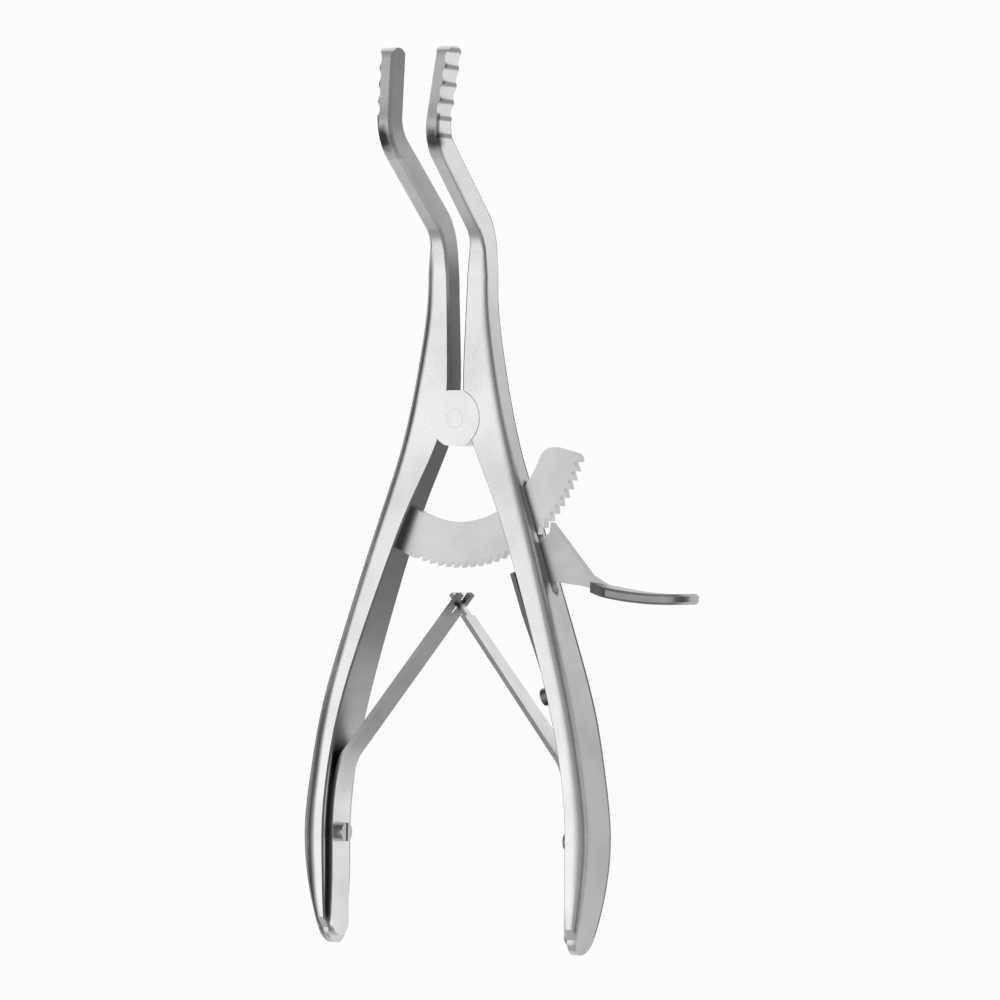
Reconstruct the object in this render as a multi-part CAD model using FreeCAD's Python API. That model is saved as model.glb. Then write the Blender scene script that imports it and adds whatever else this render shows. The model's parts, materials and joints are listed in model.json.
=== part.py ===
import FreeCAD, Part
import math
import os
from FreeCAD import Vector

# Mouth gag of the ratchet-pliers kind, in millimetres.
# X is the way the jaws spread, +Y points to the jaws and +Z to the front of the instrument.
# The origin lies on the pivot axis, on the back face of the lap joint.
# Everything is drawn about the arms' middle plane and lifted by half the joint at the end.

# lap joint
joint_thickness = 5.2
joint_radius = 6.1
joint_bottom_y = -5.8         # the ears are ground to a shallow arc between the handles
joint_bottom_bow = 15.0
joint_gap = 0.06              # between the two ears' meeting faces
recess_clearance = 0.12       # round an ear, in the other arm's recess
slot_half_width = 1.7         # half the gap between the shanks, just above the joint
slot_bottom_y = 5.9
pivot_pin_radius = 2.0
pin_clearance = 0.03

# handles
handle_length = 111.2         # from the pivot to the handle ends
handle_thickness = 10.8       # front to back, at the belly
handle_end_thickness = 6.6
handle_swell_start = 7.0      # below the pivot, where the thickness begins to grow
handle_swell_length = 50.0
handle_end_round = 3.3        # end arch, seen from the side
handle_end_flare = 14.0       # length over which the arch opens
handle_edge_round = 2.0       # outer long edges
inner_edge_bevel = 0.35
grip_start = 46.3             # from the pivot to where the handle's grip begins

# shank and jaw
shank_thickness = 4.9
shank_edge_round = 0.9
shank_edge_bevel = 0.5
jaw_width = 3.7
jaw_thickness = 5.4
jaw_edge_round = 0.75
jaw_edge_bevel = 0.6
jaw_start_y = 30.0
jaw_start_x = 4.95
jaw_root_spread = 0.8         # the shank is wider by this on each side
jaw_rise_y = 39.0             # corner of the lower bend
jaw_tip_y = 58.2              # corner of the upper bend
jaw_forward = 19.8            # how far the bayonet steps to the front
jaw_end_y = 76.8
jaw_lean = 8.6                # degrees, tip leaning back
jaw_flare = 2.1               # outward drift over the bayonet and tip
jaw_flare_y = 44.0            # where the drift starts
lower_bend_radius = 9.0
upper_bend_radius = 8.0
tip_width = 3.5
tip_thickness = 5.2
tip_end_round = 2.5
tip_blend_before = 6.0        # the jaw's section turns into the tip's about the upper bend
tip_blend_after = 4.0
groove_count = 5
groove_pitch = 3.6
groove_depth = 0.9
groove_top_margin = 1.1       # from the tip's end to the first ridge

# toothed arc
rack_inner_radius = 21.7
rack_outer_radius = 31.3
rack_thickness = 1.8
rack_end_angle = 76.2         # degrees from straight down, towards the right handle
rack_tang_angle = -35.5
rack_first_tooth_angle = -20.0
rack_last_tooth_angle = 73.5
tooth_pitch = 3.75            # degrees, also the step of the jaws' opening
tooth_depth = 1.2
tooth_back_share = 0.97       # of the pitch, from a steep flank to the next tooth's back
tooth_root_share = 0.3        # of the pitch, flat ground of a gap
rack_inner_corner = 3.8
rack_outer_corner = 1.5
rack_pin_radius = 1.0
rack_pin_angle = -32.3

# slot in the right handle
slot_side_clearance = 0.3
slot_end_clearance = 0.35
slot_below_pin = 6.5          # from the lever pin's axis to the slot's lower end

# lever
lever_thickness = 1.8
lever_pin_off_rack = 3.9      # from the tooth tips to the pin's axis
lever_pin_inset = 3.6         # from the handle's inner face to the pin's axis
lever_pin_radius = 1.2
lever_pin_clearance = 0.05
lever_boss_radius = 2.7
nose_angle = 47.0             # where the nose stands on the arc, degrees from straight down
nose_rest_gap = 0.3           # nose to tooth tips, lever at rest
nose_height = 1.25
nose_base = 2.8               # degrees
nose_back_run = 3.0           # degrees from the nose's foot to the upper edge's middle
nose_root_gap = 0.15          # nose to tooth root, lever engaged
nose_flank_gap = 0.06
plate_reach = 13.8            # lever plate's outer corner, from the pin's axis
plate_corner_drop = 2.9
plate_drop = 4.3
tail_drop = 3.7               # tail's middle below the lever pin
tail_radius = 1.4
tail_spring_gap = 0.2         # lever at rest
tab_thickness = 2.2
tab_width = 7.6
tab_start = 13.8              # these three are measured in X from the lever pin's axis
tab_full = 19.3
tab_reach = 39.0
tab_start_drop = 5.3          # these three in Y, to the middle of the tab's thickness
tab_middle_drop = 7.3
tab_end_drop = 7.35
tab_edge_bevel = 0.5

# springs and screws
leaf_thickness = 1.0
leaf_foot_width = 6.2
leaf_end_width = 3.7
leaf_foot_margin = 1.6        # from the handle's end to the foot's end
leaf_foot_length = 29.6
leaf_bend_length = 9.6        # from the foot's top to the straight part
leaf_bend_off = 1.8           # the straight part's start stands off the handle's face
leaf_knee_off = 0.7
leaf_cross_y = -38.7          # where the two leaves cross
leaf_past_cross = 2.5
fork_gap = 0.35
fork_depth = 4.5
tongue_width = 1.7
tongue_length = 5.0
pawl_spring_thickness = 1.0
pawl_spring_width = 6.0
pawl_spring_top_width = 4.8
# how the spring rises from the handle: share of the way up from the screw, share of its lift
pawl_spring_rise = [(0.0, 0.0), (0.23, 0.2), (0.51, 0.7), (0.75, 1.0)]
pawl_spring_lift = 1.0        # how far its free end stands off the handle
pawl_spring_top_drop = 2.1    # its free end, below the lever pin
pawl_spring_foot_margin = 3.6  # from the screw to the foot's end
leaf_screw_margin = 23.5      # from the handle's end to the leaf screw
leaf_screw_head_radius = 2.0
leaf_screw_head_height = 2.1
leaf_screw_radius = 1.1
leaf_screw_length = 3.6
pawl_screw_margin = 13.5      # from the leaf spring's bend to the pawl spring's screw
pawl_screw_head_radius = 1.9
pawl_screw_head_height = 2.5
pawl_screw_radius = 1.0
pawl_screw_length = 3.0
driver_slot_width = 0.7
driver_slot_depth = 0.8

big = 200.0                   # larger than the part, for cutting tools
middle_z = joint_thickness / 2.0


def handle_height(y):
    """Front-to-back thickness of an arm below the joint, swelling towards the belly."""
    swell = min(max((-y - handle_swell_start) / handle_swell_length, 0.0), 1.0)
    return joint_thickness + (handle_thickness - joint_thickness) * swell


def on_grip(share):
    """Y of a station of the grip: 0 where it begins, 1 at the handle's end."""
    return -grip_start - (handle_length - grip_start) * share


# Stations of the right arm: y, inner x, outer x, thickness, round of the outer long edges.
arm_stations = [
    (on_grip(1.022), 29.5, 30.8, handle_end_thickness, 0.6),
    (on_grip(0.912), 30.1, 33.2, handle_thickness * 0.84, 1.5),
    (on_grip(0.781), 30.1, 35.0, handle_thickness * 0.97, handle_edge_round * 0.9),
    (on_grip(0.612), 30.2, 35.8, handle_thickness, handle_edge_round),
    (on_grip(0.442), 29.2, 34.5, handle_thickness, handle_edge_round),
    (on_grip(0.242), 26.5, 32.0, handle_thickness, handle_edge_round),
    (on_grip(0.0), 21.5, 27.4, handle_height(-grip_start), handle_edge_round),
    (-30.0, 15.5, 22.0, handle_height(-30.0), handle_edge_round * 0.85),
    (-16.0, 9.6, 17.1, handle_height(-16.0), handle_edge_round * 0.7),
    (-6.0, 4.7, 13.8, joint_thickness, handle_edge_round * 0.6),
    (0.0, 2.5, 12.1, joint_thickness, handle_edge_round * 0.55),
    (6.0, slot_half_width, 10.7, joint_thickness, shank_edge_round * 1.2),
    (14.0, slot_half_width + 0.05, 9.15, joint_thickness - 0.1, shank_edge_round * 1.1),
    (22.0, slot_half_width + 0.3, 7.95, shank_thickness, shank_edge_round),
    (jaw_start_y, jaw_start_x - jaw_width * 0.5 - jaw_root_spread,
     jaw_start_x + jaw_width * 0.5 + jaw_root_spread, shank_thickness, shank_edge_round),
]


def polar(radius, angle):
    """Point on a circle about the pivot, the angle in degrees from -Y towards +X."""
    turn = math.radians(angle)
    return Vector(radius * math.sin(turn), -radius * math.cos(turn), 0)


def plate(outline, thickness):
    """Flat plate about the middle plane from a closed wire."""
    solid = Part.Face(outline).extrude(Vector(0, 0, thickness))
    solid.translate(Vector(0, 0, -thickness / 2.0))
    return solid


def polygon(points):
    return Part.makePolygon(points + [points[0]])


def upright_cylinder(radius, centre, low, high):
    return Part.makeCylinder(radius, high - low, Vector(centre.x, centre.y, low))


def arc_edge(start, middle, end):
    return Part.Arc(start, middle, end).toShape()


def bar_ring(centre, slope, inner, outer, thickness, bevel, edge_round):
    """Control points round an arm's section: rounded outer corners, bevelled inner ones.

    inner and outer are its x limits, and slope tilts it about X."""
    lift = Vector(0, -math.sin(math.radians(slope)), math.cos(math.radians(slope)))
    half = thickness / 2.0

    def at(x, height):
        return Vector(x, centre.y, centre.z) + lift * height

    return [
        at(outer, half - edge_round), at(outer, half), at(outer - edge_round, half),
        at(inner + bevel, half), at(inner, half - bevel),
        at(inner, bevel - half), at(inner + bevel, -half),
        at(outer - edge_round, -half), at(outer, -half), at(outer, edge_round - half),
    ]


def ring_distances(rings):
    """How far along the arm each section lies."""
    distances = [0.0]
    for before, after in zip(rings, rings[1:]):
        distances.append(distances[-1] + (after[1] - before[1]).Length)
    return distances


def lengthwise_curve(points, distances):
    """Smooth curve through one control point of every section, or the line between two."""
    curve = Part.BSplineCurve()
    if len(points) == 2:
        curve.buildFromPolesMultsKnots(points, [2, 2], [0.0, distances[-1]], False, 1)
    else:
        curve.interpolate(Points=points, Parameters=distances)
    return curve


def skin(rings):
    """Solid whose skin runs through the sections: exact arcs across the corners, smooth curves along."""
    distances = ring_distances(rings)
    curves = [lengthwise_curve([ring[i] for ring in rings], distances) for i in range(len(rings[0]))]
    knots, mults, degree = curves[0].getKnots(), curves[0].getMultiplicities(), curves[0].Degree
    surfaces = []
    # strips by control point: three for a rounded corner, two for a flat or a bevel
    for strip in [(0, 1, 2), (2, 3), (3, 4), (4, 5), (5, 6), (6, 7), (7, 8, 9), (9, 0)]:
        poles = [curves[i].getPoles() for i in strip]
        order = len(strip)
        across = [1.0, math.sqrt(0.5), 1.0] if order == 3 else [1.0, 1.0]
        surface = Part.BSplineSurface()
        surface.buildFromPolesMultsKnots(
            poles, [order, order], mults, [0.0, 1.0], knots, False, False, order - 1, degree,
            [[weight] * len(poles[0]) for weight in across])
        surfaces.append(surface)
    faces = [surface.toShape() for surface in surfaces]
    for place in (distances[0], distances[-1]):
        faces.append(Part.Face(Part.Wire([surface.vIso(place).toShape() for surface in surfaces])))
    shell = Part.makeShell(faces)
    shell.sewShape()
    solid = Part.Solid(shell)
    if solid.Volume < 0:
        solid.reverse()
    return solid


def arm_rings():
    rings = []
    for y, inner, outer, thickness, edge_round in arm_stations:
        bevel = inner_edge_bevel if y < 0 else shank_edge_bevel
        rings.append(bar_ring(Vector(0, y, 0), 0, inner, outer, thickness, bevel, edge_round))
    return rings


def handle_and_shank():
    """The right arm from the handle's end to the lower bend."""
    return skin(arm_rings()).common(end_arch())


def end_arch():
    """Everything inside the side outline of a handle: a round arch at the end, open towards the jaws."""
    centre_y = -handle_length + handle_end_round
    flare_y = centre_y + handle_end_flare
    flare_z = handle_thickness
    low = Vector(0, centre_y, -handle_end_round)
    high = Vector(0, centre_y, handle_end_round)
    corners = [high, Vector(0, flare_y, flare_z), Vector(0, big, flare_z),
               Vector(0, big, -flare_z), Vector(0, flare_y, -flare_z), low]
    edges = [Part.makeLine(corners[i], corners[i + 1]) for i in range(5)]
    edges.append(arc_edge(low, Vector(0, -handle_length, 0), high))
    return Part.Face(Part.Wire(edges)).extrude(Vector(big, 0, 0))


class JawPath:
    """Side view of the jaw's middle line: straight, lower bend, diagonal, upper bend, tip."""

    def __init__(self):
        run = jaw_tip_y - jaw_rise_y
        self.rise = math.degrees(math.atan2(jaw_forward, run))
        self.lower_cut = lower_bend_radius * math.tan(math.radians(self.rise / 2.0))
        self.turn = self.rise + jaw_lean
        self.upper_cut = upper_bend_radius * math.tan(math.radians(self.turn / 2.0))
        self.lower_corner = Vector(0, jaw_rise_y, 0)
        self.upper_corner = Vector(0, jaw_tip_y, jaw_forward)

    def along(self, slope):
        return Vector(0, math.cos(math.radians(slope)), math.sin(math.radians(slope)))

    def bend(self, start, slope, radius, turned):
        """Point and slope on an arc from start, after turning by some degrees (negative turns back)."""
        side = 1.0 if turned >= 0 else -1.0
        normal = Vector(0, -math.sin(math.radians(slope)), math.cos(math.radians(slope)))
        centre = start + normal * (radius * side)
        new_slope = slope + turned
        new_normal = Vector(0, -math.sin(math.radians(new_slope)), math.cos(math.radians(new_slope)))
        return centre - new_normal * (radius * side), new_slope

    def stretches(self):
        """Points and slopes from the shank to the tip's end, as straight and bent stretches in turn."""
        lower_start = self.lower_corner - self.along(0) * self.lower_cut
        upper_start = self.upper_corner - self.along(self.rise) * self.upper_cut
        tip_run = (jaw_end_y - jaw_tip_y) / math.cos(math.radians(jaw_lean))
        steps = [share / 4.0 for share in range(5)]
        lower = [self.bend(lower_start, 0.0, lower_bend_radius, self.rise * step) for step in steps]
        upper = [self.bend(upper_start, self.rise, upper_bend_radius, -self.turn * step) for step in steps]
        tip_end = (self.upper_corner + self.along(-jaw_lean) * tip_run, -jaw_lean)
        return [[(Vector(0, jaw_start_y, 0), 0.0), lower[0]], lower, [lower[-1], upper[0]], upper,
                [upper[-1], tip_end]]


def smooth_share(value, start, end):
    share = min(max((value - start) / (end - start), 0.0), 1.0)
    return share * share * (3.0 - 2.0 * share)


def jaw_section(point, slope):
    """Control points of the right jaw's section at a point of its path."""
    first = arm_stations[-1]
    settled = smooth_share(point.y, jaw_start_y, jaw_rise_y)
    tipward = smooth_share(point.y, jaw_flare_y, jaw_end_y)
    widened = smooth_share(point.y, jaw_tip_y - tip_blend_before, jaw_tip_y + tip_blend_after)
    width = jaw_width + (tip_width - jaw_width) * widened
    thickness = jaw_thickness + (tip_thickness - jaw_thickness) * widened
    middle = jaw_start_x + jaw_flare * tipward
    inner = first[1] + (middle - width / 2.0 - first[1]) * settled
    outer = first[2] + (middle + width / 2.0 - first[2]) * settled
    height = shank_thickness + (thickness - shank_thickness) * settled
    edge_round = shank_edge_round + (jaw_edge_round - shank_edge_round) * settled
    bevel = shank_edge_bevel + (jaw_edge_bevel - shank_edge_bevel) * settled
    return bar_ring(point, slope, inner, outer, height, bevel, edge_round)


def jaw_stretches():
    """Bayonet-bent jaw of the right arm: a solid for each straight or bent stretch."""
    return [skin([jaw_section(*station) for station in stretch]) for stretch in JawPath().stretches()]


def round_tip(jaw, end):
    """Rounds the jaw's end, seen from the side."""
    point, slope = end
    along = JawPath().along(slope)
    lift = Vector(0, -along.z, along.y)
    half = tip_thickness
    rounded = Part.makeBox(big, half * 2.0, half * 2.0)
    rounded.translate(Vector(-big / 2.0, -half, -half))
    back = along * -2.0 * half
    shoulder = tip_thickness / 2.0 - tip_end_round
    keep = [point + lift * shoulder, point + lift * (shoulder + tip_end_round) - along * tip_end_round,
            point - lift * (shoulder + tip_end_round) - along * tip_end_round, point - lift * shoulder]
    bulge = math.sqrt(0.5) * tip_end_round
    high_centre = point + lift * shoulder - along * tip_end_round
    low_centre = point - lift * shoulder - along * tip_end_round
    wide_high = keep[1] + lift * half
    wide_low = keep[2] - lift * half
    edges = [
        arc_edge(keep[0], high_centre + (along + lift) * bulge, keep[1]),
        Part.makeLine(keep[1], wide_high),
        Part.makeLine(wide_high, wide_high + along * half * 3.0),
        Part.makeLine(wide_high + along * half * 3.0, wide_low + along * half * 3.0),
        Part.makeLine(wide_low + along * half * 3.0, wide_low),
        Part.makeLine(wide_low, keep[2]),
        arc_edge(keep[2], low_centre + (along - lift) * bulge, keep[3]),
        Part.makeLine(keep[3], keep[0]),
    ]
    waste = Part.Face(Part.Wire(edges)).extrude(Vector(big, 0, 0))
    waste.translate(Vector(-big / 2.0, 0, 0))
    return jaw.cut(waste)


def cut_grooves(jaw, end):
    """Concave grooves across the tip's outer face, with sharp ridges between them."""
    point, slope = end
    along = JawPath().along(slope)
    lift = Vector(0, -along.z, along.y)
    half_pitch = groove_pitch / 2.0
    radius = (half_pitch ** 2 + groove_depth ** 2) / (2.0 * groove_depth)
    for number in range(groove_count):
        back = groove_top_margin + half_pitch + groove_pitch * number
        centre = point - along * back
        tipward = smooth_share(centre.y, jaw_flare_y, jaw_end_y)
        face_x = jaw_start_x + jaw_flare * tipward + tip_width / 2.0
        centre.x = face_x - groove_depth + radius
        tool = Part.makeCylinder(radius, tip_thickness * 2.0, centre - lift * tip_thickness, lift)
        jaw = jaw.cut(tool)
    return jaw


def right_blank():
    """Right arm before the joint, the slot and the holes are cut."""
    stretches = jaw_stretches()
    end = JawPath().stretches()[-1][-1]
    stretches[-1] = cut_grooves(round_tip(stretches[-1], end), end)
    return handle_and_shank().fuse(stretches)


def mirrored(shape):
    return shape.mirror(Vector(0, 0, 0), Vector(1, 0, 0))


def ear(level):
    """Half-thickness disc of the lap joint; level is +1 in front and -1 behind."""
    face = joint_thickness / 2.0
    low, high = (joint_gap / 2.0, face) if level > 0 else (-face, -joint_gap / 2.0)
    disc = upright_cylinder(joint_radius, Vector(0, 0, 0), low, high)
    bottom = upright_cylinder(joint_bottom_bow, Vector(0, joint_bottom_y + joint_bottom_bow, 0), low, high)
    above = Part.makeBox(2.0 * joint_radius, joint_radius, face * 2.0,
                         Vector(-joint_radius, slot_bottom_y, -face))
    return disc.common(bottom).cut(above)


def recess(level):
    """Room for the other arm's ear; level is the ear's level."""
    face = joint_thickness
    low, high = (-joint_gap / 2.0, face) if level > 0 else (-face, joint_gap / 2.0)
    return upright_cylinder(joint_radius + recess_clearance, Vector(0, 0, 0), low, high)


def handle_slot():
    """Through slot of the right handle, for the toothed arc and the lever."""
    width = rack_thickness + 2.0 * slot_side_clearance
    lower_y = lever_pin_centre().y - slot_below_pin
    corners = [Vector(0, lower_y, 0), Vector(big, lower_y, 0), Vector(big, 0, 0), Vector(0, 0, 0)]
    block = plate(polygon(corners), width)
    return block.cut(upright_cylinder(rack_inner_radius - slot_end_clearance, Vector(0, 0, 0), -width, width))


def ring_sector(inner, outer, start, end, thickness):
    middle = (start + end) / 2.0
    edges = [
        arc_edge(polar(inner, start), polar(inner, middle), polar(inner, end)),
        Part.makeLine(polar(inner, end), polar(outer, end)),
        arc_edge(polar(outer, end), polar(outer, middle), polar(outer, start)),
        Part.makeLine(polar(outer, start), polar(inner, start)),
    ]
    return plate(Part.Wire(edges), thickness)


def rounded_at(solid, corner, radius):
    """Rounds the upright edge that stands at a corner point."""
    for edge in solid.Edges:
        ends = [vertex.Point for vertex in edge.Vertexes]
        if all(math.hypot(p.x - corner.x, p.y - corner.y) < 1e-4 for p in ends) and len(ends) == 2:
            return solid.makeFillet(radius, [edge])
    raise ValueError("no edge stands at that corner")


def lever_pin_centre():
    """Point inside the right handle, at the pin's distance from the pivot."""
    reach = rack_outer_radius + lever_pin_off_rack
    low, high = -reach, 0.0
    for _ in range(30):
        middle = (low + high) / 2.0
        face, out = inner_point(middle)
        centre = face - out * lever_pin_inset
        if centre.Length > reach:
            low = middle
        else:
            high = middle
    return centre


def nose_tip():
    return polar(rack_outer_radius + nose_rest_gap, nose_angle)


def engage_turn():
    """Degrees the lever turns from rest until the nose stands in a tooth gap."""
    pin = lever_pin_centre()
    target = rack_outer_radius - tooth_depth + nose_root_gap
    low, high = 0.0, 30.0
    for _ in range(40):
        middle = (low + high) / 2.0
        if turned_about(nose_tip(), pin, middle).Length > target:
            low = middle
        else:
            high = middle
    return high


def turned_about(point, centre, degrees):
    turn = math.radians(degrees)
    arm = point - centre
    return centre + Vector(arm.x * math.cos(turn) - arm.y * math.sin(turn),
                           arm.x * math.sin(turn) + arm.y * math.cos(turn), 0)


def tooth_flank_angle():
    """Angle of the steep flank beside the nose, clear of the nose's whole swing."""
    return nose_angle + math.degrees(nose_flank_gap / nose_tip().Length)


def rack():
    """Toothed arc: its steep flanks face the left handle, so it can only be pushed on, not drawn back."""
    arc = ring_sector(rack_inner_radius, rack_outer_radius, rack_tang_angle, rack_end_angle, rack_thickness)
    arc = rounded_at(arc, polar(rack_inner_radius, rack_end_angle), rack_inner_corner)
    arc = rounded_at(arc, polar(rack_outer_radius, rack_end_angle), rack_outer_corner)
    phase = tooth_flank_angle()
    first = math.ceil((rack_first_tooth_angle - phase) / tooth_pitch)
    last = math.floor((rack_last_tooth_angle - phase) / tooth_pitch)
    notches = []
    for number in range(first, last + 1):
        flank = phase + number * tooth_pitch
        clear = rack_outer_radius + tooth_depth
        corners = [
            polar(rack_outer_radius - tooth_depth, flank),
            polar(clear, flank),
            polar(clear, flank - tooth_pitch * tooth_back_share),
            polar(rack_outer_radius, flank - tooth_pitch * tooth_back_share),
            polar(rack_outer_radius - tooth_depth, flank - tooth_pitch * tooth_root_share),
        ]
        notches.append(plate(polygon(corners), rack_thickness * 2.0))
    return arc.cut(Part.Compound(notches))


def lever_plate():
    """Plate of the lever: nose, boss and tail in one outline."""
    pin = lever_pin_centre()
    tip = nose_tip()
    edge_radius = tip.Length + nose_height
    nose_foot = polar(edge_radius, nose_angle - nose_base)
    boss_high = polar(edge_radius, math.degrees(math.atan2(pin.x, -pin.y)) + 2.0)
    boss_side = pin + Vector(-lever_boss_radius, 0, 0)
    boss_bend = pin + Vector(-lever_boss_radius * 0.86, lever_boss_radius * 0.5, 0)
    face, out = inner_point(pin.y - tail_drop)
    spring_side = face + out * (pawl_spring_lift - tail_spring_gap)
    tail_centre = spring_side + Vector(tail_radius, 0, 0)
    tail_high = tail_centre + Vector(-tail_radius * 0.5, tail_radius * 0.86, 0)
    tail_side = tail_centre + Vector(-tail_radius, 0, 0)
    tail_end = tail_centre + Vector(0, -tail_radius, 0)
    low_inner = pin + Vector(plate_reach * 0.33, -plate_drop, 0)
    corner = pin + Vector(plate_reach, -plate_corner_drop, 0)
    tab_high = tab_middle(tab_full) + Vector(0, tab_thickness * 0.3, 0)
    tab_low = tab_middle(tab_full) - Vector(0, tab_thickness * 0.3, 0)
    low_outer = pin + Vector(plate_reach * 0.9, -plate_drop * 1.2, 0)
    edges = [
        Part.makeLine(tip, nose_foot),
        arc_edge(nose_foot, polar(edge_radius, nose_angle - nose_base - nose_back_run), boss_high),
        Part.makeLine(boss_high, boss_bend),
        Part.makeLine(boss_bend, boss_side),
        Part.makeLine(boss_side, tail_high),
        arc_edge(tail_high, tail_side, tail_end),
        Part.makeLine(tail_end, low_inner),
        Part.makeLine(low_inner, low_outer),
        Part.makeLine(low_outer, tab_low),
        Part.makeLine(tab_low, tab_high),
        Part.makeLine(tab_high, corner),
        Part.makeLine(corner, tip),
    ]
    return plate(Part.Wire(edges), lever_thickness)


def tab_middle(reach):
    """Point on the tab's middle line, a shallow curve that flattens towards the end."""
    share = (reach - tab_start) / (tab_reach - tab_start)
    sag = tab_middle_drop - (tab_start_drop + tab_end_drop) / 2.0
    drop = tab_start_drop + (tab_end_drop - tab_start_drop) * share + 4.0 * sag * share * (1.0 - share)
    return lever_pin_centre() + Vector(reach, -drop, 0)


def lever_tab():
    """Thumb tab: a curved strip across the plate, widening from it and round at the end."""
    half = Vector(0, tab_thickness / 2.0, 0)
    middles = [tab_middle(reach) for reach in (tab_start, (tab_start + tab_reach) / 2.0, tab_reach)]
    high = [middle + half for middle in middles]
    low = [middle - half for middle in middles]
    side = Part.Wire([arc_edge(*high), Part.makeLine(high[2], low[2]), arc_edge(low[2], low[1], low[0]),
                      Part.makeLine(low[0], high[0])])
    strip = plate(side, tab_width)
    pin_x = lever_pin_centre().x
    start_x, full_x, end_x = pin_x + tab_start, pin_x + tab_full, pin_x + tab_reach
    round_x = end_x - tab_width / 2.0
    root = lever_thickness / 2.0
    wide = tab_width / 2.0
    outline = Part.Wire([
        Part.makeLine(Vector(start_x, 0, -root), Vector(start_x, 0, root)),
        Part.makeLine(Vector(start_x, 0, root), Vector(full_x, 0, wide)),
        Part.makeLine(Vector(full_x, 0, wide), Vector(round_x, 0, wide)),
        arc_edge(Vector(round_x, 0, wide), Vector(end_x, 0, 0), Vector(round_x, 0, -wide)),
        Part.makeLine(Vector(round_x, 0, -wide), Vector(full_x, 0, -wide)),
        Part.makeLine(Vector(full_x, 0, -wide), Vector(start_x, 0, -root)),
    ])
    column = Part.Face(outline).extrude(Vector(0, big, 0))
    column.translate(Vector(0, -big / 2.0, 0))
    tab = strip.common(column)
    rims = [edge for edge in tab.Edges
            if edge.BoundBox.XMin > full_x - 0.01 and edge.Length > tab_thickness * 1.5]
    return tab.makeChamfer(tab_edge_bevel, rims)


def lever():
    body = lever_plate().fuse(lever_tab()).removeSplitter()
    bore = upright_cylinder(lever_pin_radius + lever_pin_clearance, lever_pin_centre(), -big, big)
    return body.cut(bore)


def inner_curve():
    """Inner edge of the right arm in the middle plane, as the arm's skin has it."""
    points = [Vector(row[1], row[0], 0) for row in arm_stations]
    return lengthwise_curve(points, ring_distances(arm_rings()))


def inner_point(y):
    """Point on the right handle's inner face at some y, and the way out of the face."""
    curve = inner_curve()
    line = Part.Line(Vector(0, y, 0), Vector(1, y, 0))
    hit = curve.intersect(line)[0]
    at = curve.parameter(Vector(hit.X, y, 0))
    tangent = curve.tangent(at)[0]
    if tangent.y < 0:
        tangent = tangent * -1.0
    return Vector(hit.X, y, 0), Vector(-tangent.y, tangent.x, 0)


def strip_profile(points, thickness, end_direction):
    """Side outline of a leaf: a smooth stretch through the points, then a straight one to the last point."""
    curve = Part.BSplineCurve()
    curve.interpolate(points[:-1])
    sides = []
    for side in (0.5, -0.5):
        edge_points = []
        for point in points[:-2]:
            tangent = curve.tangent(curve.parameter(point))[0]
            edge_points.append(point + Vector(-tangent.y, tangent.x, 0) * (thickness * side))
        across = Vector(-end_direction.y, end_direction.x, 0) * (thickness * side)
        edge_points.append(points[-2] + across)
        edge = Part.BSplineCurve()
        first = curve.tangent(curve.parameter(points[0]))[0]
        edge.interpolate(Points=edge_points, InitialTangent=first, FinalTangent=end_direction)
        sides.append((edge, points[-1] + across))
    (left, left_end), (right, right_end) = sides
    return Part.Wire([
        left.toShape(),
        Part.makeLine(left.EndPoint, left_end),
        Part.makeLine(left_end, right_end),
        Part.makeLine(right_end, right.EndPoint),
        right.toShape(),
        Part.makeLine(right.StartPoint, left.StartPoint),
    ])


def leaf_bend_y():
    """Where a leaf leaves its handle."""
    return leaf_foot_margin - handle_length + leaf_foot_length


def leaf_outline(top_y, forked):
    """Outline of a leaf as seen along X: round foot, straight taper, and a fork or a tongue."""
    foot = leaf_foot_width / 2.0
    tip = leaf_end_width / 2.0
    tongue = tongue_width / 2.0
    foot_end_y = leaf_foot_margin - handle_length
    centre_y = foot_end_y + foot
    shoulder_y = leaf_cross_y - (tongue_length - leaf_past_cross)
    if forked:
        notch = tongue + fork_gap
        bottom_y = leaf_cross_y + leaf_past_cross - fork_depth
        top = [Vector(0, top_y, tip), Vector(0, top_y, notch), Vector(0, bottom_y, notch),
               Vector(0, bottom_y, -notch), Vector(0, top_y, -notch), Vector(0, top_y, -tip)]
    else:
        top = [Vector(0, shoulder_y, tip), Vector(0, shoulder_y, tongue), Vector(0, top_y, tongue),
               Vector(0, top_y, -tongue), Vector(0, shoulder_y, -tongue), Vector(0, shoulder_y, -tip)]
    low = Vector(0, centre_y, -foot)
    high = Vector(0, centre_y, foot)
    points = [high, Vector(0, leaf_bend_y(), foot)] + top + [Vector(0, leaf_bend_y(), -foot), low]
    edges = [Part.makeLine(points[i], points[i + 1]) for i in range(len(points) - 1)]
    edges.append(arc_edge(low, Vector(0, foot_end_y, 0), high))
    column = Part.Face(Part.Wire(edges)).extrude(Vector(big, 0, 0))
    column.translate(Vector(-big / 2.0, 0, 0))
    return column


def leaf_spring(blank, forked):
    """Leaf for the right handle: its foot lies on the inner face, its free end crosses the other leaf."""
    half = leaf_thickness / 2.0
    start_y = leaf_foot_margin - handle_length - leaf_thickness
    top_y = leaf_bend_y()
    points = []
    for step in range(5):
        face, out = inner_point(start_y + (top_y - start_y) * step / 4.0)
        points.append(face + out * half)
    for climb, off in ((0.5, leaf_knee_off), (1.0, leaf_bend_off)):
        face, out = inner_point(top_y + leaf_bend_length * climb)
        points.append(face + out * off)
    cross = Vector(0, leaf_cross_y, 0)
    way = (cross - points[-1]).normalize()
    points.append(cross + way * leaf_past_cross)
    profile = strip_profile(points, leaf_thickness, way)
    leaf = plate(profile, leaf_foot_width).common(leaf_outline(big, forked))
    return leaf.cut(blank)


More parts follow.
